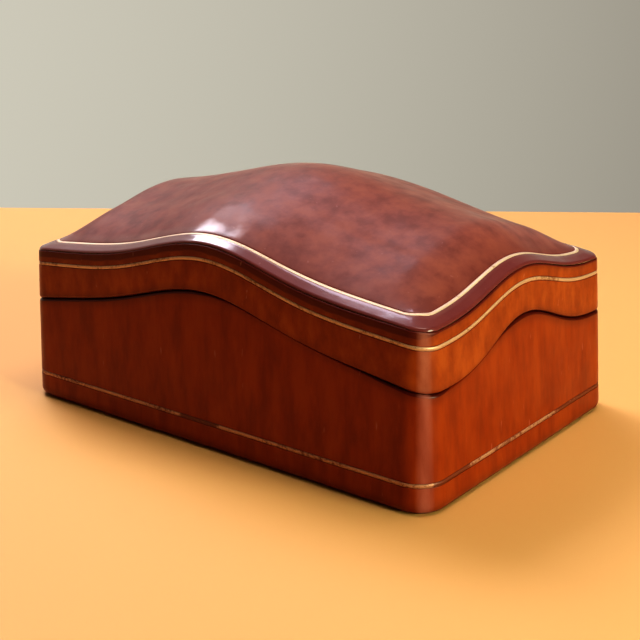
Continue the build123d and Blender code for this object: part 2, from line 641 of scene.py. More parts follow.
def add_node(
    tree: bpy.types.NodeTree,
    kind: str,
    feeds: dict[str | int, object] | None = None,
    shades: tuple[tuple[float, str], ...] = (),
    **settings: object,
) -> bpy.types.Node:
    """Add a node with its settings and links.

    Args:
        tree: The material's node tree.
        kind: The node's type, without its ShaderNode prefix.
        feeds: What goes into each input: an output to link, or a value.
        shades: A colour ramp's places with their sRGB hex colours.
        **settings: The node's own settings.

    Returns:
        The node.
    """
    node = tree.nodes.new("ShaderNode" + kind)
    for name, value in settings.items():
        setattr(node, name, value)
    for socket, value in (feeds or {}).items():
        if isinstance(value, bpy.types.NodeSocket):
            tree.links.new(value, node.inputs[socket])
        else:
            node.inputs[socket].default_value = value
    for number, (place, colour) in enumerate(shades):
        marks = node.color_ramp.elements
        mark = marks[number] if number < len(marks) else marks.new(place)
        mark.position = place
        mark.color = paint(colour)
    return node


def new_material(
    name: str, plain: dict[str | int, object] | None = None
) -> tuple[bpy.types.Material, bpy.types.NodeTree, bpy.types.Node]:
    """Start a material.

    Args:
        name: The finish's name.
        plain: The main shader's values that are the same all over.

    Returns:
        The material, its node tree and its main shader.
    """
    material = bpy.data.materials.new(name)
    material.use_nodes = True
    tree = material.node_tree
    tree.nodes.clear()
    shader = add_node(tree, "BsdfPrincipled", plain)
    add_node(tree, "OutputMaterial", {"Surface": shader.outputs["BSDF"]})
    return material, tree, shader


@dataclass(frozen=True)
class PolishedCalf:
    """Vegetable-tanned calf, stained by hand, waxed and polished with a warm iron.

    The stain sits in cloudy patches and gathers dark where the leather is turned or tooled; on the cognac
    sides most of the dark along the edges is painted shade. A pale painted highlight runs down the corners,
    and small scuffs are rubbed pale. The wax gives a clear soft shine over fine pores, and its bloom a faint
    grey veil at a slant.
    """

    name: str
    dye: str
    pale_dye: str
    deep_dye: str
    edge_dye_and_shade: str
    scuff_and_highlight_dye: str
    patch_mm: float
    edge_mm: float
    fade_mm: float
    roughness: float
    body_gloss: float
    wax: float
    field_wax: float
    wax_blur: float
    upright: float = 1.0
    bloom: float = 0.0
    bloom_tint: str = "D6D8D4"
    pore_mm: float = 1.1
    pore_depth_mm: float = 0.06
    scuff_mm: float = 2.6
    wear_mm: float = 9.0
    fold_mm: float = 14.0
    fold_depth_mm: float = 0.5
    tool_half_mm: float = 0.85
    tool_dark_mm: float = 0.5
    deepest: float = 0.36
    palest: float = 0.64
    turned_share: float = 0.8
    faded_share: float = 0.4
    tooled_share: float = 0.75
    scuffed_share: float = 0.4

    def make(self) -> bpy.types.Material:
        """Make the material.

        Returns:
            The material.
        """
        plain = {
            "IOR": 1.48,
            "Specular IOR Level": self.body_gloss,
            "Coat IOR": 1.45,
            "Coat Roughness": self.wax_blur,
            "Sheen Weight": self.bloom,
            "Sheen Roughness": 0.35,
            "Sheen Tint": paint(self.bloom_tint),
        }
        material, tree, shader = new_material(self.name, plain)
        place = add_node(tree, "TexCoord").outputs["Object"]
        stretched = add_node(tree, "Mapping", {"Vector": place, "Scale": (1.0, 1.0, 1.0 / self.upright)})
        drawn = stretched.outputs["Vector"]
        cloud = {"Vector": drawn, "Scale": per_mm(self.patch_mm), "Detail": 6.0, "Roughness": 0.62}
        patches = add_node(tree, "TexNoise", cloud).outputs["Fac"]
        reach = self.from_edge(tree, patches)
        # The edges darken: stain on the oxblood rim, mostly painted shade on the cognac sides. Then a pale
        # painted highlight goes down the corners, along with real scuffs.
        turned = self.darken_edges_dye_and_shade(tree, self.stain(tree, patches), reach)
        rubbed = self.scuff_and_paint_highlight(tree, self.darken_tooled(tree, turned), patches, drawn)
        tree.links.new(rubbed, shader.inputs["Base Color"])
        tree.links.new(self.shine(tree, place), shader.inputs["Roughness"])
        tree.links.new(self.wax_cover(tree, reach), shader.inputs["Coat Weight"])
        surface = self.grain(tree, place, drawn)
        tree.links.new(surface, shader.inputs["Normal"])
        tree.links.new(surface, shader.inputs["Coat Normal"])
        return material

    def stain(self, tree: bpy.types.NodeTree, patches: bpy.types.NodeSocket) -> bpy.types.NodeSocket:
        """Lay the stain in its cloudy patches.

        Args:
            tree: The material's node tree.
            patches: The cloudy pattern.

        Returns:
            The stain's colour.
        """
        shades = ((self.deepest, self.deep_dye), (0.5, self.dye), (self.palest, self.pale_dye))
        return add_node(tree, "ValToRGB", {"Fac": patches}, shades=shades).outputs["Color"]

    def from_edge(self, tree: bpy.types.NodeTree, patches: bpy.types.NodeSocket) -> bpy.types.NodeSocket:
        """Give the distance from the nearest edge in millimetres, made ragged by the patches.

        Args:
            tree: The material's node tree.
            patches: The cloudy pattern.

        Returns:
            The distance.
        """
        edge = add_node(tree, "Attribute", attribute_name="edge_mm").outputs["Fac"]
        ragged = add_node(
            tree,
            "MapRange",
            {"Value": patches, "From Min": NOISE_LOW, "From Max": NOISE_HIGH, "To Min": 1.2, "To Max": 0.85},
        )
        reach = add_node(tree, "Math", {0: edge, 1: ragged.outputs["Result"]}, operation="MULTIPLY")
        return reach.outputs["Value"]

    def darken_edges_dye_and_shade(
        self, tree: bpy.types.NodeTree, colour: bpy.types.NodeSocket, reach: bpy.types.NodeSocket
    ) -> bpy.types.NodeSocket:
        """Darken the leather along its edges: a firm band and a long fade. On the oxblood top this is stain
        gathered on the turned rim; on the cognac sides it is mostly painted shade under the bead, in the
        parting gap and at the foot.

        Args:
            tree: The material's node tree.
            colour: The colour so far.
            reach: The distance from the nearest edge.

        Returns:
            The colour with its edges darkened.
        """
        band = add_node(
            tree,
            "MapRange",
            {
                "Value": reach,
                "From Min": 0.8 * self.edge_mm,
                "From Max": 1.2 * self.edge_mm,
                "To Min": self.turned_share,
                "To Max": 0.0,
            },
            interpolation_type="SMOOTHSTEP",
        )
        fade = add_node(
            tree,
            "MapRange",
            {"Value": reach, "From Max": self.fade_mm, "To Min": self.faded_share, "To Max": 0.0},
            interpolation_type="SMOOTHSTEP",
        )
        both = add_node(
            tree, "Math", {0: band.outputs["Result"], 1: fade.outputs["Result"]}, operation="MAXIMUM"
        )
        darkened = add_node(
            tree,
            "Mix",
            {SHARE: both.outputs["Value"], COLOUR_A: colour, COLOUR_B: paint(self.edge_dye_and_shade)},
            data_type="RGBA",
        )
        return darkened.outputs[COLOUR_OUT]

    def darken_tooled(self, tree: bpy.types.NodeTree, colour: bpy.types.NodeSocket) -> bpy.types.NodeSocket:
        """Darken the leather beside a tooled line, where the hot fillet scorched it.

        Args:
            tree: The material's node tree.
            colour: The colour so far.

        Returns:
            The colour with its tooling darkened.
        """
        tool = add_node(tree, "Attribute", attribute_name="tool_mm").outputs["Fac"]
        gap = add_node(tree, "Math", {0: tool, 1: self.tool_half_mm}, operation="SUBTRACT")
        beside = add_node(tree, "Math", {0: gap.outputs["Value"]}, operation="ABSOLUTE")
        scorch = add_node(
            tree,
            "MapRange",
            {
                "Value": beside.outputs["Value"],
                "From Max": self.tool_dark_mm,
                "To Min": self.tooled_share,
                "To Max": 0.0,
            },
            interpolation_type="SMOOTHSTEP",
        )
        darkened = add_node(
            tree,
            "Mix",
            {SHARE: scorch.outputs["Result"], COLOUR_A: colour, COLOUR_B: paint(self.edge_dye_and_shade)},
            data_type="RGBA",
        )
        return darkened.outputs[COLOUR_OUT]

    def scuff_and_paint_highlight(
        self,
        tree: bpy.types.NodeTree,
        colour: bpy.types.NodeSocket,
        patches: bpy.types.NodeSocket,
        drawn: bpy.types.NodeSocket,
    ) -> bpy.types.NodeSocket:
        """Paint a pale highlight down the corners, and scuff the leather pale here and there.

        Args:
            tree: The material's node tree.
            colour: The colour so far.
            patches: The cloudy pattern.
            drawn: The place, stretched upright.

        Returns:
            The colour with its painted corner highlight and its scuffs.
        """
        # The rubbed attribute holds the painted highlight down the corners; the scuffs below are real wear.
        corner_highlight = add_node(tree, "Attribute", attribute_name="rubbed").outputs["Fac"]
        corners = add_node(tree, "Math", {0: corner_highlight, 1: patches}, operation="MULTIPLY")
        knocks = add_node(tree, "TexNoise", {"Vector": drawn, "Scale": per_mm(self.scuff_mm), "Detail": 1.0})
        scuffs = add_node(
            tree,
            "MapRange",
            {"Value": knocks.outputs["Fac"], "From Min": 0.74, "From Max": 0.8, "To Max": self.scuffed_share},
        )
        both = add_node(
            tree, "Math", {0: corners.outputs["Value"], 1: scuffs.outputs["Result"]}, operation="MAXIMUM"
        )
        rubbed = add_node(
            tree,
            "Mix",
            {SHARE: both.outputs["Value"], COLOUR_A: colour, COLOUR_B: paint(self.scuff_and_highlight_dye)},
            data_type="RGBA",
        )
        return rubbed.outputs[COLOUR_OUT]

    def shine(self, tree: bpy.types.NodeTree, place: bpy.types.NodeSocket) -> bpy.types.NodeSocket:
        """Vary the polish with handling.

        Args:
            tree: The material's node tree.
            place: The place on the box.

        Returns:
            The roughness.
        """
        wear = add_node(tree, "TexNoise", {"Vector": place, "Scale": per_mm(self.wear_mm), "Detail": 4.0})
        shine = add_node(
            tree,
            "MapRange",
            {
                "Value": wear.outputs["Fac"],
                "From Min": NOISE_LOW,
                "From Max": NOISE_HIGH,
                "To Min": self.roughness - 0.06,
                "To Max": self.roughness + 0.08,
            },
        )
        return shine.outputs["Result"]

    def wax_cover(self, tree: bpy.types.NodeTree, reach: bpy.types.NodeSocket) -> bpy.types.NodeSocket:
        """Lay the wax, which is worked in hardest along the edges.

        Args:
            tree: The material's node tree.
            reach: The distance from the nearest edge.

        Returns:
            How much wax there is.
        """
        cover = add_node(
            tree,
            "MapRange",
            {
                "Value": reach,
                "From Min": 1.2 * self.edge_mm,
                "From Max": 2.0 * self.edge_mm,
                "To Min": self.wax,
                "To Max": self.field_wax,
            },
            interpolation_type="SMOOTHSTEP",
        )
        return cover.outputs["Result"]

    def grain(
        self, tree: bpy.types.NodeTree, place: bpy.types.NodeSocket, drawn: bpy.types.NodeSocket
    ) -> bpy.types.NodeSocket:
        """Raise the pores and the slow folds of the hide. The pores are drawn coarse enough to show.

        Args:
            tree: The material's node tree.
            place: The place on the box.
            drawn: The place, stretched upright.

        Returns:
            The normal.
        """
        pore_look = {"Vector": place, "Scale": per_mm(self.pore_mm), "Detail": 3.0, "Roughness": 0.6}
        pores = add_node(tree, "TexNoise", pore_look)
        pitted = add_node(
            tree,
            "Bump",
            {"Height": pores.outputs["Fac"], "Strength": 0.25, "Distance": self.pore_depth_mm * MM},
        )
        fold_look = {"Vector": drawn, "Scale": per_mm(self.fold_mm), "Detail": 3.0, "Roughness": 0.5}
        folds = add_node(tree, "TexNoise", fold_look)
        uneven = add_node(
            tree,
            "Bump",
            {
                "Height": folds.outputs["Fac"],
                "Normal": pitted.outputs["Normal"],
                "Strength": 0.35,
                "Distance": self.fold_depth_mm * MM,
            },
        )
        return uneven.outputs["Normal"]


@dataclass(frozen=True)
class GoldLeaf:
    """Gold leaf pressed into leather with a hot brass fillet.

    It is a thin bright metal that has rubbed through in places, so the leather below shows as brown specks.
    """

    name: str
    gold: str
    rubbed: str
    worn_share: float
    speck_mm: float = 1.6
    stretch_mm: float = 22.0
    rubbed_reach_mm: float = 9.0
    rubbed_loss: float = 0.4
    edge_blur: float = 0.06
    metal_share: float = 0.4

    def make(self) -> bpy.types.Material:
        """Make the material. Its edge_mm attribute is the distance from a stretch that hands have rubbed.

        Returns:
            The material.
        """
        material, tree, shader = new_material(self.name)
        place = add_node(tree, "TexCoord").outputs["Object"]
        speck_look = {"Vector": place, "Scale": per_mm(self.speck_mm), "Detail": 4.0, "Roughness": 0.7}
        specks = add_node(tree, "TexNoise", speck_look).outputs["Fac"]
        stretch_look = {"Vector": place, "Scale": per_mm(self.stretch_mm), "Detail": 2.0}
        stretches = add_node(tree, "TexNoise", stretch_look).outputs["Fac"]
        total = add_node(
            tree, "Mix", {SHARE: 0.45, NUMBER_A: specks, NUMBER_B: stretches}, data_type="FLOAT"
        )
        from_rubbed = add_node(tree, "Attribute", attribute_name="edge_mm").outputs["Fac"]
        lost = add_node(
            tree,
            "MapRange",
            {
                "Value": from_rubbed,
                "From Max": self.rubbed_reach_mm,
                "To Min": self.rubbed_loss,
                "To Max": 0.0,
            },
            interpolation_type="SMOOTHSTEP",
        )
        kept = add_node(
            tree, "Math", {0: total.outputs[NUMBER_OUT], 1: lost.outputs["Result"]}, operation="SUBTRACT"
        )
        left = add_node(
            tree,
            "MapRange",
            {
                "Value": kept.outputs["Value"],
                "From Min": self.worn_share - self.edge_blur,
                "From Max": self.worn_share + self.edge_blur,
            },
        ).outputs["Result"]
        colour = add_node(
            tree,
            "Mix",
            {SHARE: left, COLOUR_A: paint(self.rubbed), COLOUR_B: paint(self.gold)},
            data_type="RGBA",
        )
        tree.links.new(colour.outputs[COLOUR_OUT], shader.inputs["Base Color"])
        metal = add_node(tree, "MapRange", {"Value": left, "To Max": self.metal_share})
        tree.links.new(metal.outputs["Result"], shader.inputs["Metallic"])
        dull = add_node(tree, "MapRange", {"Value": specks, "To Min": 0.35, "To Max": 0.6})
        tree.links.new(dull.outputs["Result"], shader.inputs["Roughness"])
        pressed = add_node(tree, "Bump", {"Height": specks, "Strength": 0.3, "Distance": 0.1 * MM})
        tree.links.new(pressed.outputs["Normal"], shader.inputs["Normal"])
        return material


@dataclass(frozen=True)
class GrainedWood:
    """Planed wood whose straight grain shows as fine darker lines along the board."""

    name: str
    pale: str
    dark: str
    grain_mm: float
    stretch: Place
    detail: float
    wander: float
    relief: float
    roughness: float

    def make(self) -> bpy.types.Material:
        """Make the material.

        Returns:
            The material.
        """
        material, tree, shader = new_material(self.name, {"Roughness": self.roughness})
        place = add_node(tree, "TexCoord").outputs["Object"]
        drawn = add_node(tree, "Mapping", {"Vector": place, "Scale": self.stretch}).outputs["Vector"]
        grain_look = {
            "Vector": drawn,
            "Scale": per_mm(self.grain_mm),
            "Detail": self.detail,
            "Distortion": self.wander,
        }
        grain = add_node(tree, "TexNoise", grain_look).outputs["Fac"]
        shades = ((0.35, self.dark), (0.65, self.pale))
        colour = add_node(tree, "ValToRGB", {"Fac": grain}, shades=shades).outputs["Color"]
        tree.links.new(colour, shader.inputs["Base Color"])
        fibres = add_node(tree, "Bump", {"Height": grain, "Strength": self.relief, "Distance": 0.1 * MM})
        tree.links.new(fibres.outputs["Normal"], shader.inputs["Normal"])
        return material


@dataclass(frozen=True)
class Nap:
    """A napped cloth or split suede, glued down.

    Its short raised fibres make it matt, with a pale sheen at a slant and faint lighter strokes where it was
    last brushed. The fibres are drawn coarser than real ones, so that they show.
    """

    name: str
    shade: str
    brushed: str
    fibre_mm: float
    stroke_mm: float
    sheen: float

    def make(self) -> bpy.types.Material:
        """Make the material.

        Returns:
            The material.
        """
        plain = {
            "Roughness": 0.95,
            "Specular IOR Level": 0.2,
            "Sheen Weight": self.sheen,
            "Sheen Roughness": 0.4,
        }
        material, tree, shader = new_material(self.name, plain)
        place = add_node(tree, "TexCoord").outputs["Object"]
        fibre_look = {"Vector": place, "Scale": per_mm(self.fibre_mm), "Detail": 4.0, "Roughness": 0.7}
        fibres = add_node(tree, "TexNoise", fibre_look).outputs["Fac"]
        stroke_look = {"Vector": place, "Scale": per_mm(self.stroke_mm), "Detail": 3.0, "Distortion": 1.2}
        strokes = add_node(tree, "TexNoise", stroke_look).outputs["Fac"]
        both = add_node(tree, "Mix", {SHARE: 0.65, NUMBER_A: fibres, NUMBER_B: strokes}, data_type="FLOAT")
        shades = ((0.38, self.shade), (0.62, self.brushed))
        colour = add_node(tree, "ValToRGB", {"Fac": both.outputs[NUMBER_OUT]}, shades=shades)
        tree.links.new(colour.outputs["Color"], shader.inputs["Base Color"])
        raised = add_node(tree, "Bump", {"Height": fibres, "Strength": 0.5, "Distance": 0.2 * MM})
        tree.links.new(raised.outputs["Normal"], shader.inputs["Normal"])
        return material


@dataclass(frozen=True)
class Finishes:
    """Every finish of the box, made once."""

    # Calf stained oxblood: mottled red-brown in the middle, burgundy and glassy with wax on the rolled rim.
    top_calf: bpy.types.Material
    # Calf stained cognac: warm red-brown with upright streaks, almost black along its edges, which is mostly
    # painted shade in the parting gap and at the foot; a painted highlight runs pale down its corners.
    base_calf: bpy.types.Material
    # The same calf, dyed paler and waxed: more orange, so that the lid's band stands out from the base. The
    # dark under its crease and along the parting line is painted shade, and a painted highlight runs down its
    # corners.
    side_calf: bpy.types.Material
    # Fresh leaf: the brightest line, with a few breaks.
    top_leaf: bpy.types.Material
    # Leaf that hands have dulled: pale brown gold.
    side_leaf: bpy.types.Material
    # Leaf worn by the table's edge: coppery, broken into stretches.
    foot_leaf: bpy.types.Material
    # Planed lime wood, bare: pale, even and matt.
    lime: bpy.types.Material
    # Thin board, stained red-brown and rubbed with wax: dark, with a straight upright grain and a dull shine.
    stained_board: bpy.types.Material
    # Split suede, tan: soft, matt and cloudy from brushing.
    suede: bpy.types.Material
    # Wool baize, brown: dark and quite without shine.
    baize: bpy.types.Material


def make_finishes() -> Finishes:
    """Make every finish of the box.

    Returns:
        The finishes.
    """
    return Finishes(
        top_calf=PolishedCalf(
            name="oxblood_calf_polished",
            dye="80443C",
            pale_dye="8A4C40",
            deep_dye="713A34",
            edge_dye_and_shade="6A2C2F",
            scuff_and_highlight_dye="96605A",
            patch_mm=11.0,
            edge_mm=9.0,
            fade_mm=22.0,
            roughness=0.46,
            body_gloss=0.12,
            wax=0.95,
            field_wax=0.05,
            wax_blur=0.14,
            bloom=0.22,
        ).make(),
        base_calf=PolishedCalf(
            name="cognac_calf_polished",
            dye="88320A",
            pale_dye="923A0E",
            deep_dye="7C2A08",
            edge_dye_and_shade="380A0C",
            scuff_and_highlight_dye="AC6A60",
            patch_mm=8.0,
            edge_mm=1.2,
            fade_mm=6.0,
            roughness=0.38,
            body_gloss=0.1,
            wax=0.25,
            field_wax=0.25,
            wax_blur=0.25,
            upright=4.0,
        ).make(),
        side_calf=PolishedCalf(
            name="cognac_calf_waxed",
            dye="903E13",
            pale_dye="9E4A1A",
            deep_dye="82350F",
            edge_dye_and_shade="481218",
            scuff_and_highlight_dye="B07466",
            patch_mm=8.0,
            edge_mm=1.2,
            fade_mm=5.0,
            roughness=0.38,
            body_gloss=0.1,
            wax=0.25,
            field_wax=0.25,
            wax_blur=0.25,
            upright=2.0,
        ).make(),
        top_leaf=GoldLeaf("gold_leaf_tooled", gold="E2C4A8", rubbed="AA7A5C", worn_share=0.38).make(),
        side_leaf=GoldLeaf("gold_leaf_dulled", gold="CCA284", rubbed="86502E", worn_share=0.42).make(),
        foot_leaf=GoldLeaf("gold_leaf_worn", gold="C08C70", rubbed="6E2E14", worn_share=0.44).make(),
        lime=GrainedWood(
            name="lime_wood_planed",
            pale="C9A878",
            dark="A98755",
            grain_mm=2.2,
            stretch=(0.08, 1.0, 1.0),
            detail=4.0,
            wander=0.6,
            relief=0.2,
            roughness=0.62,
        ).make(),
        stained_board=GrainedWood(
            name="thin_board_stained",
            pale="7A3A22",
            dark="54220F",
            grain_mm=1.4,
            stretch=(0.07, 0.07, 1.0),
            detail=5.0,
            wander=0.0,
            relief=0.15,
            roughness=0.45,
        ).make(),
        suede=Nap(
            "split_suede_tan", shade="7C5A3E", brushed="9A7654", fibre_mm=0.35, stroke_mm=18.0, sheen=0.5
        ).make(),
        baize=Nap(
            "wool_baize_brown", shade="3A261A", brushed="4C3324", fibre_mm=0.3, stroke_mm=9.0, sheen=0.3
        ).make(),
    )


def dress(piece: bpy.types.Object, body: Body, finish: bpy.types.Material, node: str) -> None:
    """Give a new piece its finish, its body and the node that it stands for.

    Args:
        piece: The piece.
        body: The body that it rides on.
        finish: Its material.
        node: The node that it replaces.
    """
    piece.data.materials.append(finish)
    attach(piece, body.value)
    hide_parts(node)
    log.info("%s: %s, rides on %s, stands for %s", piece.name, finish.name, body.value, node)


def dress_nodes(body: Body, endings: tuple[str, ...], finish: bpy.types.Material) -> None:
    """Give a finish to the carried-over nodes of a body whose names end in one of some words.

    Args:
        body: The body, whose name every one of its nodes begins with.
        endings: The words.
        finish: The material.
    """
    for name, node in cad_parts.items():
        if name.startswith(body.value) and name.endswith(endings):
            node.data.materials.clear()
            node.data.materials.append(finish)
            log.info("%s: %s", name, finish.name)


# ------------------------------------------------------------------------------------------ the leather


@dataclass(frozen=True)
class Tooling:
    """A tooled line: the groove that the hot fillet pressed, and the leaf that lies in it."""

    leaf_half: float = 0.85
    leaf_sunk: float = 0.08
    leaf_root: float = 0.32
    leaf_swell: float = 0.03
    groove_half: float = 0.95
    groove_depth: float = 0.22
    shoulder: float = 0.2
    lip_radius: float = 0.1

    def reach(self) -> float:
        """Give how far the groove with its shoulder reaches from the line's middle."""
        return self.groove_half + self.shoulder

    def groove(self) -> list[Pair]:
        """Give the groove's profile, from one shoulder to the other, as (distance from the middle, depth)."""
        half, depth = self.groove_half, self.groove_depth
        return [(self.reach(), 0.0), (half, depth), (-half, depth), (-self.reach(), 0.0)]

    def leaf(self) -> list[Pair]:
        """Give the leaf's closed profile as (distance from the middle, depth)."""
        half, sunk, root = self.leaf_half, self.leaf_sunk, self.leaf_root
        return [(half, root), (half, sunk), (0.0, sunk - self.leaf_swell), (-half, sunk), (-half, root)]

    def wall_groove(self, form: BoxForm, height: float, run: int) -> list[Turn]:
        """Give the turns of a groove in a wall, from its upper shoulder to its lower one.

        Args:
            form: The box's shape.
            height: Height of the line's middle.
            run: Points laid between the groove and the next corner below.

        Returns:
            Four turns.
        """
        spots = [(form.wall_inset(height + up) + deep, height + up) for up, deep in self.groove()]
        turns = [Turn(*spot, self.lip_radius, 2) for spot in spots[:-1]]
        return turns + [Turn(*spots[-1], self.lip_radius, 2, run)]

    def wall_leaf(self, form: BoxForm, height: float) -> list[Pair]:
        """Give the closed section of the leaf in a wall's groove at a height."""
        return [(form.wall_inset(height + up) + deep, height + up) for up, deep in self.leaf()]


@dataclass(frozen=True)
class Flank:
    """A stretch of the parting line where lid and base have worn together: its middle and its reach."""

    x: float
    y: float
    reach: float


@dataclass(frozen=True)
class Covering(ABC):
    """What the three leather coverings share: how leather is cut, turned, tooled and worn, and the painted
    highlight down its corners.
    """

    form: BoxForm
    walk: Walk
    tooling: Tooling
    thickness: float = 1.1
    tight: float = 0.25
    loose_edge: float = 1.35
    tight_edge: float = 0.25
    gap_closed: float = 0.75
    # how far a snug flank holds back the painted shadow of the parting gap
    snug_reach: float = 2.4
    corner_start: float = 0.8
    flanks: tuple[Flank, ...] = (Flank(50.0, -81.0, 62.0), Flank(125.0, -40.0, 36.0))

    name: ClassVar[str]
    leaf_name: ClassVar[str]
    cut: ClassVar[Cut] = Cut.CLOSED
    on_top: ClassVar[bool] = False

    def stops(self) -> list[Stop]:
        """Give the stops that the sections are carried through."""
        return self.walk.stops()

    @abstractmethod
    def section(self, stop: Stop) -> list[Pair]:
        """Give the leather's section at a stop."""

    @abstractmethod
    def marker(self, stop: Stop, point: Pair) -> Mark:
        """Give what the leather's finish reads at a point of its section."""

    @abstractmethod
    def leaf_section(self, stop: Stop) -> list[Pair]:
        """Give the closed section of the gilt line's leaf at a stop."""

    def leaf_marker(self, stop: Stop, point: Pair) -> Mark:
        """Give what the leaf's finish reads at a point of a line that has no rubbed stretch."""
        return Mark()

    def tightness(self, stop: Stop) -> float:
        """Give how closely lid and base meet at a stop.

        Args:
            stop: The stop.

        Returns:
            From 0 where they only lie on each other to 1 in the middle of a flank.
        """
        x, y = stop.plan(0)
        snug = 0.0
        for flank in self.flanks:
            away = math.hypot(x - flank.x, y - flank.y) / flank.reach
            snug = max(snug, (1 - min(away, 1.0) ** 2) ** 2)
        return snug

    def turned_edge(self, stop: Stop) -> float:
        """Give the rounding of a turned edge at the parting line."""
        return self.loose_edge + (self.tight_edge - self.loose_edge) * self.tightness(stop)

    def gap(self, stop: Stop) -> float:
        """Give the gap between the two turned edges at the parting line."""
        return self.form.parting_gap * (1 - self.gap_closed * self.tightness(stop))

    def corner_painted_highlight(self, stop: Stop) -> float:
        """Give how strong the painted highlight is at a stop: most on the outermost line of each corner."""
        outermost = abs(2 * stop.out[0] * stop.out[1])
        return max(outermost - self.corner_start, 0.0) / (1 - self.corner_start)

    def build(self) -> bpy.types.Object:
        """Build the covering.

        Returns:
            The covering.
        """
        draft = Draft(self.name)
        stops = self.stops()
        rings = carry_round(draft, self.form, stops, self.section, self.marker, self.cut, self.on_top)
        self.close(draft, rings)
        log.info("%s: %d points to a section, %d points", self.name, len(rings), len(draft.points))
        return draft.make()

    def close(self, draft: Draft, rings: list[list[int]]) -> None:
        """Fill what the rings leave open: nothing, where the section is closed."""

    def build_leaf(self) -> bpy.types.Object:
        """Build the gilt line in the covering's groove.

        Returns:
            The line.
        """
        draft = Draft(self.leaf_name)
        stops = self.stops()
        carry_round(draft, self.form, stops, self.leaf_section, self.leaf_marker, on_top=self.on_top)
        log.info("%s: %d stops", self.leaf_name, len(stops))
        return draft.make()


@dataclass(frozen=True)
class BaseCovering(Covering):
    """The base's leather: up the walls, over the top edge of the boards and lapped under the foot.

    Hands have worn its gilt line off on two stretches, each given by its middle and half its length, and the
    line is faint along part of the right side.
    """

    board_inset: float = 10.5
    turn_under: float = 12.0
    gilt_height: float = 13.2
    foot_shade: float = 0.8
    worn_front: Pair = (-2.5, 6.0)
    worn_right: Pair = (-61.0, 6.5)
    faint_from: float = 32.0
    faint_fade: float = 4.0
    faint_least: float = 4.5

    name: ClassVar[str] = "base_covering"
    leaf_name: ClassVar[str] = "base_gilt"

    def section(self, stop: Stop) -> list[Pair]:
        """Give the leather's closed section at a stop.

        Args:
            stop: The stop.

        Returns:
            The section's points.
        """
        form, deep = self.form, self.thickness
        parting = form.parting(*stop.plan(0))
        inner = form.parting(*stop.plan(self.board_inset))
        turns = [
            Turn(self.board_inset, inner - deep),
            Turn(self.board_inset, inner, self.tight, steps=2, run=2),
            Turn(form.wall_inset(parting), parting, self.turned_edge(stop), steps=6, run=14),
            *self.tooling.wall_groove(form, self.gilt_height, run=3),
            Turn(0.0, 0.0, form.foot_radius, steps=9, run=2),
            Turn(self.turn_under, 0.0, self.tight, steps=2),
            Turn(self.turn_under, deep, self.tight, steps=2, run=2),
            Turn(deep, deep, form.foot_radius - deep, steps=6, run=4),
            Turn(form.wall_inset(parting) + deep, parting - deep, self.tight, steps=2),
        ]
        return lay_section(turns, Cut.CLOSED)

    def marker(self, stop: Stop, point: Pair) -> Mark:
        """Give a point's distance from the foot or the parting line, and from the gilt line.

        Args:
            stop: The stop.
            point: The point of the section.

        Returns:
            The point's marks.
        """
        height = point[1]
        # Painted shade: a dark band under the parting line stands for the gap's shadow and is held back where
        # the lid sits snug; a dark band at the foot stands for the shade where the box meets the floor.
        below_parting = self.form.parting(*stop.plan(0)) - height + self.snug_reach * self.tightness(stop)
        edge = max(min(below_parting, height * self.foot_shade), 0.0)
        # The third mark is the painted highlight down the corners.
        return Mark(edge, abs(height - self.gilt_height), self.corner_painted_highlight(stop))

    def leaf_section(self, stop: Stop) -> list[Pair]:
        """Give the closed section of the line round the foot, which runs level."""
        return self.tooling.wall_leaf(self.form, self.gilt_height)

    def leaf_marker(self, stop: Stop, point: Pair) -> Mark:
        """Mark how far a point of the line lies from the stretches where hands have rubbed it off.

        Args:
            stop: The stop.
            point: Not used.

        Returns:
            The point's marks.
        """
        x, y = stop.plan(0)
        front, right = -self.form.width / 2, self.form.length / 2
        along_front = max(abs(x - self.worn_front[0]) - self.worn_front[1], 0.0)
        along_right = max(abs(y - self.worn_right[0]) - self.worn_right[1], 0.0)
        along_faint = max(self.faint_from - y, 0.0) / self.faint_fade
        from_front = math.hypot(along_front, y - front)
        from_right = math.hypot(x - right, along_right)
        from_faint = math.hypot(x - right, along_faint) + self.faint_least
        return Mark(min(from_front, from_right, from_faint))


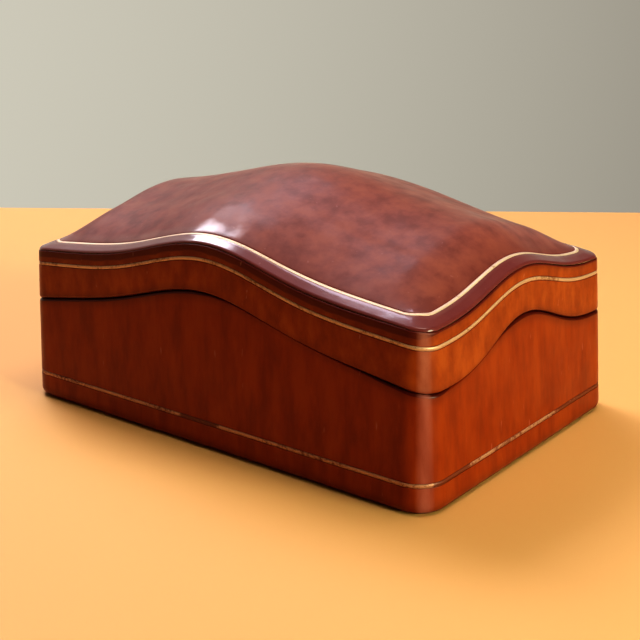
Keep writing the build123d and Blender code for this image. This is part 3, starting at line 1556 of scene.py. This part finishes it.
@dataclass(frozen=True)
class LidSideCovering(Covering):
    """The lid's side leather: from the crease under the bead to the parting line, and under the rails."""

    rail_inset: float = 9.4
    crease_drop: float = 3.0
    crease_round: float = 0.55
    gilt_drop: float = 9.6
    least_shade: float = 0.35
    shade_growth: float = 1.15
    most_shade: float = 1.5

    name: ClassVar[str] = "lid_side_covering"
    leaf_name: ClassVar[str] = "lid_side_gilt"

    def section(self, stop: Stop) -> list[Pair]:
        """Give the leather's closed section at a stop.

        Args:
            stop: The stop.

        Returns:
            The section's points.
        """
        form, deep = self.form, self.thickness
        x, y = stop.plan(0)
        edge = form.parting(x, y) + self.gap(stop)
        inner = form.parting(*stop.plan(self.rail_inset)) + self.gap(stop)
        crease = form.rim(x, y) - self.crease_drop
        turns = [
            Turn(form.wall_inset(crease) + deep, crease),
            Turn(form.wall_inset(crease), crease, self.crease_round, steps=4, run=3),
            *self.tooling.wall_groove(form, form.rim(x, y) - self.gilt_drop, run=8),
            Turn(form.wall_inset(edge), edge, self.turned_edge(stop), steps=6, run=2),
            Turn(self.rail_inset, inner, self.tight, steps=2),
            Turn(self.rail_inset, inner + deep, self.tight, steps=2, run=2),
            Turn(form.wall_inset(edge) + deep, edge + deep, self.tight, steps=2, run=3),
        ]
        return lay_section(turns, Cut.CLOSED)

    def marker(self, stop: Stop, point: Pair) -> Mark:
        """Give a point's distance from the crease or the parting line, and from the gilt line.

        The dark zone under the crease is painted shade cast by the bead, deepest on the front.

        Args:
            stop: The stop.
            point: The point of the section.

        Returns:
            The point's marks.
        """
        x, y = stop.plan(0)
        height = point[1]
        rim = self.form.rim(x, y)
        # Painted shade: the bead's shadow under the crease, deepest on the front, and the gap's shadow above
        # the parting line, held back where the lid sits snug.
        shade = self.least_shade + self.shade_growth * max(1 + stop.out[1], 0.0) ** 2
        below_crease = (rim - self.crease_drop - height) * min(shade, self.most_shade)
        above_parting = height - self.form.parting(x, y) + self.snug_reach * self.tightness(stop)
        edge = max(min(below_crease, above_parting), 0.0)
        # The third mark is the painted highlight down the corners.
        return Mark(edge, abs(rim - self.gilt_drop - height), self.corner_painted_highlight(stop))

    def leaf_section(self, stop: Stop) -> list[Pair]:
        """Give the closed section of the line round the side, which runs with the rim."""
        return self.tooling.wall_leaf(self.form, self.form.rim(*stop.plan(0)) - self.gilt_drop)


@dataclass(frozen=True)
class LidTopCovering(Covering):
    """The lid's top leather: over the swelling top and down over the soft rim to the crease."""

    draw_start: float = 1.2
    crease_drop: float = 2.8
    crease_inset: float = 0.3
    crease_round: float = 0.3
    lip_round: float = 0.2
    bead_inset: float = 0.8
    bead_round: float = 3.8
    bead_round_below: float = 1.0
    margin_inset: float = 4.2
    margin_round: float = 6.0
    gilt_inset: float = 7.2
    gilt_radius: float = 9.0
    cap_gap: float = 1.5

    name: ClassVar[str] = "lid_top_covering"
    leaf_name: ClassVar[str] = "lid_top_gilt"
    cut: ClassVar[Cut] = Cut.OPEN
    on_top: ClassVar[bool] = True

    def line(self) -> RoundLine:
        """Give the gilt line's run round the top."""
        return RoundLine(self.form.wall_inset(self.form.rim_height) + self.gilt_inset, self.gilt_radius)

    def stops(self) -> list[Stop]:
        """Give the walk's stops, drawn in to the gilt line's rounder corners.

        Returns:
            The stops.
        """
        line = self.line()
        start = self.form.wall_inset(self.form.rim_height) + self.draw_start
        end = line.inset - self.tooling.reach()
        return [line.draw(self.form, stop, start, end) for stop in self.walk.stops()]

    def rim_spot(self, stop: Stop, from_rim: float) -> Pair:
        """Give a point of the margin.

        Args:
            stop: The stop.
            from_rim: Its distance in from the rim.

        Returns:
            Its inset and height.
        """
        form = self.form
        inset = form.wall_inset(form.rim(*stop.plan(0))) + from_rim
        droop = form.margin_droop * form.missing(from_rim, form.margin_run)
        return inset, form.rim(*stop.plan(inset)) + form.margin_lift - droop

    def top_spot(self, stop: Stop, inset: float, down: float = 0.0) -> Pair:
        """Give a point at an inset, so far down from the top's surface, as its inset and height."""
        return inset, self.form.top(*stop.plan(inset)) - down

    def section(self, stop: Stop) -> list[Pair]:
        """Give the leather's open section at a stop, from the cap's ring outside to its ring inside.

        Args:
            stop: The stop.

        Returns:
            The section's points.
        """
        form, deep, middle = self.form, self.thickness, self.line().inset
        cap = middle + self.cap_gap
        crease = form.rim(*stop.plan(0)) - self.crease_drop
        lip = form.wall_inset(crease) + self.crease_inset
        bead = self.rim_spot(stop, self.bead_inset)
        groove = [self.top_spot(stop, middle + side, down) for side, down in self.tooling.groove()]
        turns = [
            Turn(*self.top_spot(stop, cap)),
            *(Turn(*spot, self.tooling.lip_radius, steps=2) for spot in groove),
            Turn(*self.rim_spot(stop, self.margin_inset), self.margin_round, steps=3),
            Turn(*bead, self.bead_round, steps=9),
            Turn(lip, crease, self.crease_round, steps=3),
            Turn(lip + deep, crease, self.lip_round, steps=2),
            Turn(bead[0] + deep, bead[1] - deep, self.bead_round_below, steps=4, run=3),
            Turn(*self.top_spot(stop, cap, deep)),
        ]
        return lay_section(turns, Cut.OPEN)

    def marker(self, stop: Stop, point: Pair) -> Mark:
        """Give a point's distance in from the crease along the leather, and from the gilt line.

        Args:
            stop: The stop.
            point: The point of the section.

        Returns:
            The point's marks.
        """
        inset, height = point
        rim = self.form.rim(*stop.plan(0))
        over = max(inset - self.form.wall_inset(rim), 0.0)
        up = min(max(self.crease_drop - (rim - height), 0.0), self.crease_drop)
        return Mark(over + up, abs(inset - self.line().inset))

    def cap_mark(self, x: float, y: float) -> Mark:
        """Give the marks of a point in plan inside the gilt line."""
        inside = self.line().inside(self.form, x, y)
        return Mark(inside + self.gilt_inset + self.crease_drop, abs(inside))

    def close(self, draft: Draft, rings: list[list[int]]) -> None:
        """Lay the middle of the top, outside and inside.

        Args:
            draft: The mesh that takes the points and faces.
            rings: The rings, of which the first and the last are left open.
        """
        line = self.line()
        cap = Cap(self.form, self.walk, line.bends(self.form), line.radius - self.cap_gap)
        cap.lay(draft, rings[0], 0.0, self.cap_mark)
        cap.lay(draft, rings[-1], self.thickness, self.cap_mark)

    def leaf_section(self, stop: Stop) -> list[Pair]:
        """Give the closed section of the leaf in the top's groove."""
        middle = self.line().inset
        return [self.top_spot(stop, middle + side, down) for side, down in self.tooling.leaf()]


# ---------------------------------------------------------------------------------------- the floor pad


@dataclass(frozen=True)
class PadForm(BoxForm):
    """Shape of a soft pad in the tray: its top swells a little from a sewn edge."""

    floor: float = 0.0
    thickness: float = 3.0
    swell: float = 0.7
    swell_run: float = 26.0
    edge_drop: float = 0.1
    edge_round: float = 0.8
    foot_round: float = 0.5
    seam_depth: float = 0.35
    seam_lip: float = 0.15
    seam_root: float = 0.1
    ring_inset: float = 3.0
    drawn_in: float = 0.3
    hollow: float = 0.12

    def top(self, x: float, y: float) -> float:
        """Give the height of the pad's top above a point in plan.

        Args:
            x: Place along the pad.
            y: Place across it.

        Returns:
            The height.
        """
        ends = 1 - self.missing(self.length / 2 - abs(x), self.swell_run)
        sides = 1 - self.missing(self.width / 2 - abs(y), self.swell_run)
        return self.floor + self.thickness - self.swell * (1 - ends * sides)

    def wall_inset(self, height: float) -> float:
        """Give how far the edge has leaned in at a height: not at all."""
        return 0.0

    def wall_waver(self, x: float, y: float, height: float) -> float:
        """Give how far the edge falls short of a straight line between two corners, inwards.

        Args:
            x: Place along the pad.
            y: Place across it.
            height: Not used.

        Returns:
            How far the edge stands out there, 0 or less.
        """
        on_long_side = abs(y) > abs(x) * self.width / self.length
        between = math.cos(math.pi * x / self.length) if on_long_side else math.cos(math.pi * y / self.width)
        return -self.drawn_in * max(between, 0.0) ** 2

    def top_waver(self, x: float, y: float) -> float:
        """Give the small hollows of the filling, downwards."""
        return -self.hollow * (1 + math.sin(x / 21.0 + 0.4) * math.cos(y / 16.0 - x / 37.0))

    def section(self, stop: Stop) -> list[Pair]:
        """Give the pad's edge at a stop, from a ring on its top past its seam to a ring on its underside.

        Args:
            stop: The stop.

        Returns:
            The section's points.
        """
        edge_top = self.thickness - self.swell - self.edge_drop
        middle, seam = edge_top / 2, self.seam_depth
        turns = [
            Turn(self.ring_inset, self.top(*stop.plan(self.ring_inset)) - self.floor),
            Turn(0.0, edge_top, self.edge_round, steps=4),
            Turn(0.0, middle + seam, self.seam_lip, steps=2),
            Turn(seam, middle, self.seam_root, steps=2),
            Turn(0.0, middle - seam, self.seam_lip, steps=2),
            Turn(0.0, 0.0, self.foot_round, steps=4),
            Turn(self.ring_inset, 0.0),
        ]
        return [(inset, self.floor + up) for inset, up in lay_section(turns, Cut.OPEN)]


@dataclass(frozen=True)
class FloorPad:
    """The suede pad on the tray's floor: a thin filling between two skins, sewn together round the edge."""

    node: str = "base_floor_pad"
    name: str = "tray_pad"
    corner: float = 4.0
    filling: float = 0.5
    straight_step: float = 3.0
    corner_half_steps: int = 4

    def build(self) -> bpy.types.Object:
        """Build the pad in the space of its node.

        Returns:
            The pad.
        """
        low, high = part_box(self.node)
        length, width, thickness = ((high[axis] - low[axis]) / MM for axis in range(3))
        floor = low[2] / MM
        form = PadForm(length, width, self.corner, floor=floor, thickness=thickness)
        walk = Walk(form, self.straight_step, self.corner_half_steps)
        draft = Draft(self.name)
        rings = carry_round(draft, form, walk.stops(), form.section, lambda stop, point: Mark(), Cut.OPEN)
        cap = Cap(form, walk, walk.bends(), self.corner - form.ring_inset)
        cap.lay(draft, rings[0], 0.0, lambda x, y: Mark())
        draft.faces.append(tuple(rings[-1]))
        pad = draft.make()
        log.info("%s: %.0f by %.0f by %.1f mm", pad.name, length, width, thickness)
        return pad


# ------------------------------------------------------------------------------------ the two halves


@dataclass(frozen=True)
class Base:
    """The base: lime boards in cognac calf with a gilt line, inner walls that locate the lid, and a pad."""

    form: BoxForm
    walk: Walk
    tooling: Tooling = Tooling()
    pad: FloorPad = FloorPad()

    def build(self, finishes: Finishes) -> None:
        """Build the base's new pieces, and dress them and its boards.

        Args:
            finishes: The finishes.
        """
        covering = BaseCovering(self.form, self.walk, self.tooling)
        dress(covering.build(), Body.BASE, finishes.base_calf, "base_leather")
        dress(covering.build_leaf(), Body.BASE, finishes.foot_leaf, "base_gilt_line")
        dress(self.pad.build(), Body.BASE, finishes.suede, self.pad.node)
        dress_nodes(Body.BASE, ("board",), finishes.lime)
        dress_nodes(Body.BASE, ("inner_wall",), finishes.stained_board)
        dress_nodes(Body.BASE, ("underside_panel",), finishes.baize)


@dataclass(frozen=True)
class Lid:
    """The lid: a waved lime board on four rails, in oxblood calf on top and cognac round the side, lined."""

    form: BoxForm
    walk: Walk
    side_tooling: Tooling = Tooling(leaf_half=0.8, groove_half=0.9)
    top_tooling: Tooling = Tooling()

    def build(self, finishes: Finishes) -> None:
        """Build the lid's new pieces, and dress them and its boards.

        Args:
            finishes: The finishes.
        """
        side = LidSideCovering(self.form, self.walk, self.side_tooling)
        dress(side.build(), Body.LID, finishes.side_calf, "lid_side_leather")
        dress(side.build_leaf(), Body.LID, finishes.side_leaf, "lid_side_gilt_line")
        top = LidTopCovering(self.form, self.walk, self.top_tooling)
        dress(top.build(), Body.LID, finishes.top_calf, "lid_top_leather")
        dress(top.build_leaf(), Body.LID, finishes.top_leaf, "lid_top_gilt_line")
        dress_nodes(Body.LID, ("board", "rail"), finishes.lime)
        dress_nodes(Body.LID, ("lining",), finishes.suede)


# ------------------------------------------------------------------------------------------- the studio


@dataclass(frozen=True)
class Softbox:
    """A plain soft light, hung in metres and aimed at the middle of the box."""

    name: str
    place: Place
    width: float
    height: float
    watts: float
    colour: str
    spread: float = math.radians(180.0)
    aim: Place = (0.0, 0.0, 0.06)

    def build(self) -> None:
        """Hang the light and aim it."""
        lamp = bpy.data.lights.new(self.name, "AREA")
        lamp.shape = "RECTANGLE"
        lamp.size, lamp.size_y = self.width, self.height
        lamp.energy = self.watts
        lamp.spread = self.spread
        lamp.color = paint(self.colour)[:3]
        hung = bpy.data.objects.new(self.name, lamp)
        hung.location = self.place
        hung.rotation_euler = (Vector(self.place) - Vector(self.aim)).to_track_quat("Z", "Y").to_euler()
        hung.visible_camera = False
        bpy.context.scene.collection.objects.link(hung)


LIGHTS = (
    Softbox("window", (-0.947, 0.272, 1.192), width=0.5, height=0.65, watts=12.5, colour="F3F2FF"),
    Softbox("skylight", (-0.66, 0.57, 1.18), width=0.45, height=0.5, watts=3.7, colour="E8E8FF"),
    Softbox(
        "side_lamp",
        (1.36, -0.02, 0.42),
        width=0.6,
        height=0.5,
        watts=2.75,
        colour="F2FFD8",
        spread=math.radians(70.0),
    ),
    Softbox("ceiling", (0.3, 0.1, 1.35), width=0.7, height=0.7, watts=7.0, colour="FFF2E6"),
)


@dataclass(frozen=True)
class Studio:
    """The plain floor, the even light of the room, the soft lights and the camera, in metres."""

    floor_colour: str = "DDA868"
    floor_roughness: float = 0.7
    floor_behind: float = 0.45
    floor_reach: float = 2.5
    floor_turn: float = math.radians(31.8)
    wall_colour: str = "BCB9AD"
    wall_bearing: float = math.radians(-75.0)
    wall_share: float = 0.57
    room_colour: str = "3A2A20"
    azimuth: float = math.radians(39.006)
    elevation: float = math.radians(14.445)
    roll: float = math.radians(-1.093)
    distance: float = 0.5987
    target: Place = (0.005307, 0.001410, 0.075680)
    lens: float = 67.775
    shift_up: float = -0.1
    lights: tuple[Softbox, ...] = LIGHTS

    def build_floor(self) -> None:
        """Lay the plain floor, which ends a little way behind the box as a table does."""
        reach, behind = self.floor_reach, self.floor_behind
        mesh = bpy.data.meshes.new("floor")
        corners = [(-reach, -reach, 0), (reach, -reach, 0), (reach, behind, 0), (-reach, behind, 0)]
        mesh.from_pydata(corners, [], [(0, 1, 2, 3)])
        mesh.transform(Matrix.Rotation(self.floor_turn, 4, "Z"))
        floor = bpy.data.objects.new("floor", mesh)
        bpy.context.scene.collection.objects.link(floor)
        plain = {"Base Color": paint(self.floor_colour), "Roughness": self.floor_roughness}
        mesh.materials.append(new_material("painted_plywood_floor", plain)[0])

    def build_room(self) -> None:
        """Set the even light of the room: a pale grey wall on one side that fades into a dim room."""
        world = bpy.data.worlds.new("room")
        bpy.context.scene.world = world
        world.use_nodes = True
        tree = world.node_tree
        way = add_node(tree, "TexCoord").outputs["Generated"]
        to_wall = (math.sin(self.wall_bearing), math.cos(self.wall_bearing), 0.0)
        facing = add_node(tree, "VectorMath", {0: way, 1: to_wall}, operation="DOT_PRODUCT")
        share = add_node(
            tree, "MapRange", {"Value": facing.outputs["Value"], "From Min": -1.0, "From Max": 1.0}
        )
        shades = ((0.0, self.room_colour), (self.wall_share, self.room_colour), (1.0, self.wall_colour))
        colour = add_node(tree, "ValToRGB", {"Fac": share.outputs["Result"]}, shades=shades)
        tree.links.new(colour.outputs["Color"], tree.nodes["Background"].inputs["Color"])

    def build_lights(self) -> None:
        """Hang the lights: a window and a patch of sky behind, a low lamp on the right and a soft ceiling."""
        for light in self.lights:
            light.build()
        scene = bpy.context.scene
        scene.view_settings.view_transform = "Standard"
        scene.view_settings.look = "High Contrast"

    def build_camera(self) -> None:
        """Place the camera and make it the scene's."""
        turn, rise = self.azimuth, self.elevation
        back = Vector((math.sin(turn) * math.cos(rise), -math.cos(turn) * math.cos(rise), math.sin(rise)))
        right = Vector((math.cos(turn), math.sin(turn), 0.0))
        up = back.cross(right)
        tilted_right = right * math.cos(self.roll) + up * math.sin(self.roll)
        tilted_up = up * math.cos(self.roll) - right * math.sin(self.roll)
        data = bpy.data.cameras.new("camera")
        data.lens = self.lens
        data.shift_y = self.shift_up
        camera = bpy.data.objects.new("camera", data)
        axes = Matrix((tilted_right, tilted_up, back)).transposed().to_4x4()
        camera.matrix_world = Matrix.Translation(Vector(self.target) + back * self.distance) @ axes
        bpy.context.scene.collection.objects.link(camera)
        bpy.context.scene.camera = camera

    def build(self) -> None:
        """Build the studio round the box."""
        self.build_floor()
        self.build_room()
        self.build_lights()
        self.build_camera()
        log.info("studio: floor, room, lights and camera")


def main() -> None:
    """Build and dress every piece in order."""
    logging.basicConfig(level=logging.INFO, format="%(message)s")
    form = BoxForm()
    walk = Walk(form)
    finishes = make_finishes()
    Base(form, walk).build(finishes)
    Lid(form, walk).build(finishes)
    Studio().build()


if __name__ == "__main__":
    main()
